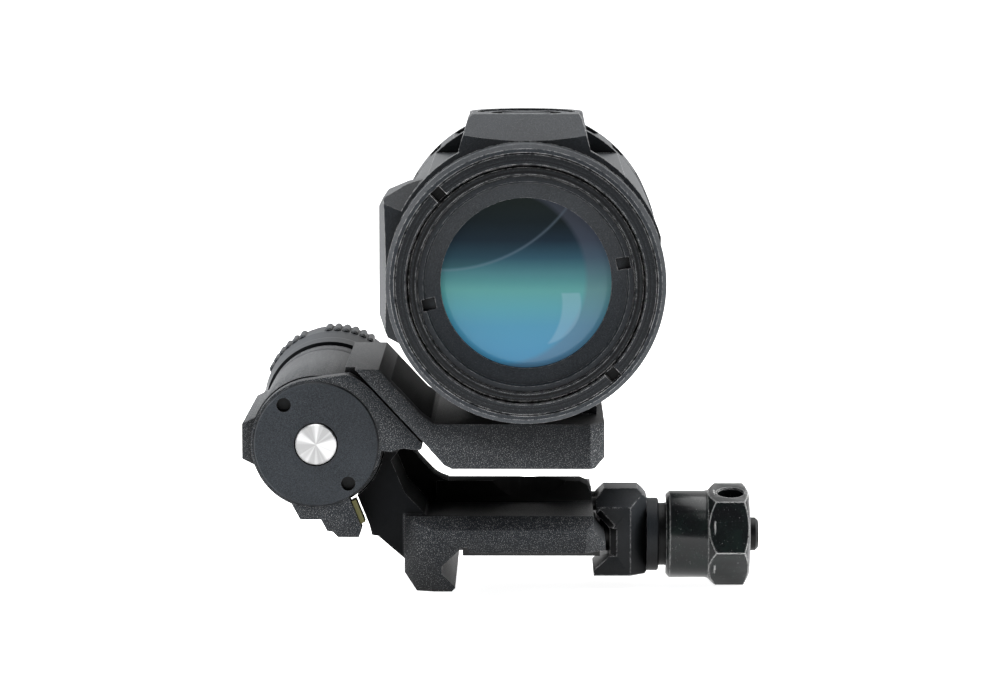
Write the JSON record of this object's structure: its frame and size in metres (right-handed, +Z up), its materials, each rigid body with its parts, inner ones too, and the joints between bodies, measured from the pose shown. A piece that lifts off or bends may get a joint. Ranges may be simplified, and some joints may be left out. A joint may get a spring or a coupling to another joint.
{
  "type": "flip mount magnifier scope",
  "caption": "Short optical magnifier tube on a rail clamp mount that swings to the side, with adjusters, focus ring, pull-knob hinge and nut clamp.",
  "frame": {"origin": "on the rail seat plane, under the optical axis, at mid length of the base", "axes": "+X across the rail towards the clamp nut, +Y along the optical axis towards the eyepiece, +Z up"},
  "size_m": [0.0684, 0.0687, 0.0645],
  "materials": {
    "blasted_black": "bead-blasted black anodised aluminium, fine sparkle, semi-matt",
    "satin_black": "fine satin black anodised aluminium",
    "tube_black": "matt black anodised aluminium",
    "matt_black": "dead-matt black anodised aluminium",
    "gloss_black_steel": "glossy black oxide on steel, bright worn edges",
    "dark_steel": "black oxide steel",
    "bright_steel": "turned bright steel",
    "bronze": "plain bronze",
    "brass_strip": "dull yellow strip",
    "seal_rubber": "black nitrile rubber",
    "coated_glass": "optical glass with a teal-blue anti-reflection coating"
  },
  "bodies": {
    "base": {"rail_base": "blasted_black", "recoil_key": "dark_steel", "clamp_bolt": "dark_steel", "jaw_guide_pins": "dark_steel", "pivot_sleeve": "dark_steel", "pivot_cap": "satin_black", "pivot_shim": "brass_strip", "thrust_washers": "bronze", "lock_spring": "bright_steel"},
    "jaw": {"clamp_jaw": "satin_black", "jaw_washer": "satin_black", "jaw_collar": "matt_black"},
    "nut": {"clamp_nut": "gloss_black_steel"},
    "release": {"lock_pin": "bright_steel", "lock_cross_pin": "bright_steel", "release_knob": "satin_black", "knob_screw": "dark_steel"},
    "optic": {"swing_arm": "blasted_black", "saddle_screws": "dark_steel", "tube_body": "tube_black", "objective_bezel": "tube_black", "objective_cell": "matt_black", "objective_retainer": "matt_black", "objective_crown": "coated_glass", "objective_flint": "coated_glass", "objective_seal": "seal_rubber", "erector_spring": "bronze", "dial_seals": "seal_rubber"},
    "elevation": {"elevation_dial": "satin_black"},
    "elevation_pusher": {"elevation_plunger": "bright_steel"},
    "windage": {"windage_dial": "satin_black"},
    "windage_pusher": {"windage_plunger": "bright_steel"},
    "gimbal": {"erector_gimbal": "bronze"},
    "erector": {"erector_tube": "matt_black", "erector_front_lens": "coated_glass", "erector_rear_lens": "coated_glass"},
    "focus_ring": {"diopter_ring": "tube_black"},
    "eyepiece": {"eyepiece_cell": "matt_black", "field_lens": "coated_glass", "eye_lens": "coated_glass", "eyepiece_retainer": "matt_black", "eyepiece_key": "bright_steel"}
  },
  "joints": [
    {"name": "flip", "type": "hinge", "parent": "base", "child": "optic", "pos_m": [-0.0272, 0, 0.01435], "axis": [0, -1, 0], "range_deg": [0, 90]},
    {"name": "knob_pull", "type": "slide", "parent": "base", "child": "release", "axis": [0, 1, 0], "range_m": [0, 0.004], "stiffness_N_per_m": 500, "springref_m": -0.004, "deforming": ["lock_spring"]},
    {"name": "nut_turn", "type": "hinge", "parent": "jaw", "child": "nut", "pos_m": [0.024, 0, -0.0004], "axis": [1, 0, 0], "range_deg": [0, 1350]},
    {"name": "jaw_slide", "type": "slide", "parent": "base", "child": "jaw", "axis": [1, 0, 0], "range_m": [0, 0.0031]},
    {"name": "elevation_turn", "type": "hinge", "parent": "optic", "child": "elevation", "pos_m": [0, -0.0185, 0.0566], "axis": [0, 0, 1], "range_deg": [-180, 180]},
    {"name": "elevation_push", "type": "slide", "parent": "optic", "child": "elevation_pusher", "axis": [0, 0, 1], "range_m": [-0.00026, 0.00026]},
    {"name": "windage_turn", "type": "hinge", "parent": "optic", "child": "windage", "pos_m": [-0.019, -0.0185, 0.0366], "axis": [-1, 0, 0], "range_deg": [-180, 180]},
    {"name": "windage_push", "type": "slide", "parent": "optic", "child": "windage_pusher", "axis": [-1, 0, 0], "range_m": [-0.00026, 0.00026]},
    {"name": "gimbal_yaw", "type": "hinge", "parent": "optic", "child": "gimbal", "pos_m": [0, 0.006, 0.0366], "axis": [0, 0, 1], "range_deg": [-0.6, 0.6]},
    {"name": "erector_pitch", "type": "hinge", "parent": "gimbal", "child": "erector", "pos_m": [0, 0.006, 0.0366], "axis": [1, 0, 0], "range_deg": [-0.6, 0.6]},
    {"name": "focus_turn", "type": "hinge", "parent": "optic", "child": "focus_ring", "pos_m": [0, 0.025, 0.0366], "axis": [0, 1, 0], "range_deg": [-90, 90]},
    {"name": "eyepiece_slide", "type": "slide", "parent": "optic", "child": "eyepiece", "axis": [0, 1, 0], "range_m": [-0.00101, 0.00101]}
  ],
  "couplings": [
    {"joint": "jaw_slide", "follows": "nut_turn", "m_per_rad": 0.00012732},
    {"joint": "elevation_push", "follows": "elevation_turn", "m_per_rad": 0.000079577},
    {"joint": "erector_pitch", "follows": "elevation_turn", "ratio": -0.0032481},
    {"joint": "windage_push", "follows": "windage_turn", "m_per_rad": 0.000079577},
    {"joint": "gimbal_yaw", "follows": "windage_turn", "ratio": -0.0032481},
    {"joint": "eyepiece_slide", "follows": "focus_turn", "m_per_rad": 0.00063662}
  ]
}
